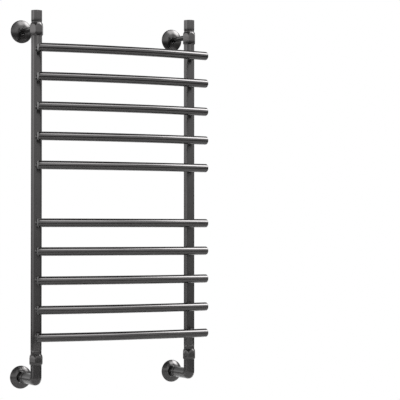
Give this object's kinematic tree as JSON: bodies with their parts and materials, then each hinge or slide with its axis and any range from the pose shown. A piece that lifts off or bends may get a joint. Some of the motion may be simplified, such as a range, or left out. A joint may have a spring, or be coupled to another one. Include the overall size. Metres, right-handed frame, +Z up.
{
  "type": "towel warmer rack",
  "caption": "Wall-hung hot-water towel warmer: a ladder of forward-bowed tubes on short stubs, carried by two posts with elbow unions below and vented wall brackets above.",
  "frame": {"origin": "middle of the bottom of the object's box, level with the lower rims of the two pipe rosettes", "axes": "+Z up along the posts, +X to the right along the wall, +Y into the wall; the bowed tubes face -Y, the room"},
  "size_m": [0.568, 0.2208, 1.107],
  "materials": {
    "graphite_coated_steel": "dark graphite coating on polished stainless steel, semi-gloss",
    "brass_vent": "turned brass",
    "rubber_seal": "black EPDM rubber",
    "plain_steel": "plain stainless steel"
  },
  "bodies": {
    "frame": {"left_post": "graphite_coated_steel", "left_stub_10": "graphite_coated_steel", "left_stub_09": "graphite_coated_steel", "left_stub_08": "graphite_coated_steel", "left_stub_07": "graphite_coated_steel", "left_stub_06": "graphite_coated_steel", "left_stub_05": "graphite_coated_steel", "left_stub_04": "graphite_coated_steel", "left_stub_03": "graphite_coated_steel", "left_stub_02": "graphite_coated_steel", "left_stub_01": "graphite_coated_steel", "left_bracket_head": "graphite_coated_steel", "left_cap_seal": "rubber_seal", "left_bracket_arm": "graphite_coated_steel", "left_grub_screw": "plain_steel", "left_post_tail": "graphite_coated_steel", "left_gasket": "rubber_seal", "right_post": "graphite_coated_steel", "right_stub_10": "graphite_coated_steel", "right_stub_09": "graphite_coated_steel", "right_stub_08": "graphite_coated_steel", "right_stub_07": "graphite_coated_steel", "right_stub_06": "graphite_coated_steel", "right_stub_05": "graphite_coated_steel", "right_stub_04": "graphite_coated_steel", "right_stub_03": "graphite_coated_steel", "right_stub_02": "graphite_coated_steel", "right_stub_01": "graphite_coated_steel", "right_bracket_head": "graphite_coated_steel", "right_cap_seal": "rubber_seal", "right_bracket_arm": "graphite_coated_steel", "right_grub_screw": "plain_steel", "right_post_tail": "graphite_coated_steel", "right_gasket": "rubber_seal", "rung_10": "graphite_coated_steel", "rung_09": "graphite_coated_steel", "rung_08": "graphite_coated_steel", "rung_07": "graphite_coated_steel", "rung_06": "graphite_coated_steel", "rung_05": "graphite_coated_steel", "rung_04": "graphite_coated_steel", "rung_03": "graphite_coated_steel", "rung_02": "graphite_coated_steel", "rung_01": "graphite_coated_steel"},
    "left_vent_cap": {"left_vent_cap": "graphite_coated_steel"},
    "left_vent_screw": {"left_vent_screw": "brass_vent"},
    "left_union_nut": {"left_union_nut": "graphite_coated_steel"},
    "left_elbow": {"left_elbow": "graphite_coated_steel", "left_wall_nipple": "graphite_coated_steel"},
    "left_pipe_rosette": {"left_pipe_rosette": "graphite_coated_steel"},
    "left_wall_plate": {"left_wall_plate": "plain_steel"},
    "left_arm_rosette": {"left_arm_rosette": "graphite_coated_steel"},
    "right_vent_cap": {"right_vent_cap": "graphite_coated_steel"},
    "right_vent_screw": {"right_vent_screw": "brass_vent"},
    "right_union_nut": {"right_union_nut": "graphite_coated_steel"},
    "right_elbow": {"right_elbow": "graphite_coated_steel", "right_wall_nipple": "graphite_coated_steel"},
    "right_pipe_rosette": {"right_pipe_rosette": "graphite_coated_steel"},
    "right_wall_plate": {"right_wall_plate": "plain_steel"},
    "right_arm_rosette": {"right_arm_rosette": "graphite_coated_steel"}
  },
  "joints": [
    {"name": "left_cap_lift", "type": "slide", "parent": "frame", "child": "left_vent_cap", "axis": [0, 0, 1], "range_m": [0, 0.022]},
    {"name": "left_vent_turn", "type": "hinge", "parent": "frame", "child": "left_vent_screw", "pos_m": [-0.25, -0.0076, 1.07], "axis": [0, 0, 1], "range_deg": [0, 270]},
    {"name": "left_nut_turn", "type": "hinge", "parent": "frame", "child": "left_union_nut", "pos_m": [-0.25, -0.0076, 0.09], "axis": [0, 0, 1], "range_deg": [0, 300]},
    {"name": "left_elbow_swivel", "type": "hinge", "parent": "frame", "child": "left_elbow", "pos_m": [-0.25, -0.0076, 0.07], "axis": [0, 0, 1], "range_deg": [-20, 20]},
    {"name": "left_pipe_rosette_slide", "type": "slide", "parent": "left_elbow", "child": "left_pipe_rosette", "axis": [0, -1, 0], "range_m": [0, 0.035]},
    {"name": "left_wall_adjust", "type": "slide", "parent": "frame", "child": "left_wall_plate", "axis": [0, 1, 0], "range_m": [-0.005, 0.012]},
    {"name": "left_arm_rosette_slide", "type": "slide", "parent": "left_wall_plate", "child": "left_arm_rosette", "axis": [0, -1, 0], "range_m": [0, 0.04]},
    {"name": "right_cap_lift", "type": "slide", "parent": "frame", "child": "right_vent_cap", "axis": [0, 0, 1], "range_m": [0, 0.022]},
    {"name": "right_vent_turn", "type": "hinge", "parent": "frame", "child": "right_vent_screw", "pos_m": [0.25, -0.0076, 1.07], "axis": [0, 0, 1], "range_deg": [0, 270]},
    {"name": "right_nut_turn", "type": "hinge", "parent": "frame", "child": "right_union_nut", "pos_m": [0.25, -0.0076, 0.09], "axis": [0, 0, 1], "range_deg": [0, 300]},
    {"name": "right_elbow_swivel", "type": "hinge", "parent": "frame", "child": "right_elbow", "pos_m": [0.25, -0.0076, 0.07], "axis": [0, 0, 1], "range_deg": [-20, 20]},
    {"name": "right_pipe_rosette_slide", "type": "slide", "parent": "right_elbow", "child": "right_pipe_rosette", "axis": [0, -1, 0], "range_m": [0, 0.035]},
    {"name": "right_wall_adjust", "type": "slide", "parent": "frame", "child": "right_wall_plate", "axis": [0, 1, 0], "range_m": [-0.005, 0.012]},
    {"name": "right_arm_rosette_slide", "type": "slide", "parent": "right_wall_plate", "child": "right_arm_rosette", "axis": [0, -1, 0], "range_m": [0, 0.04]}
  ]
}
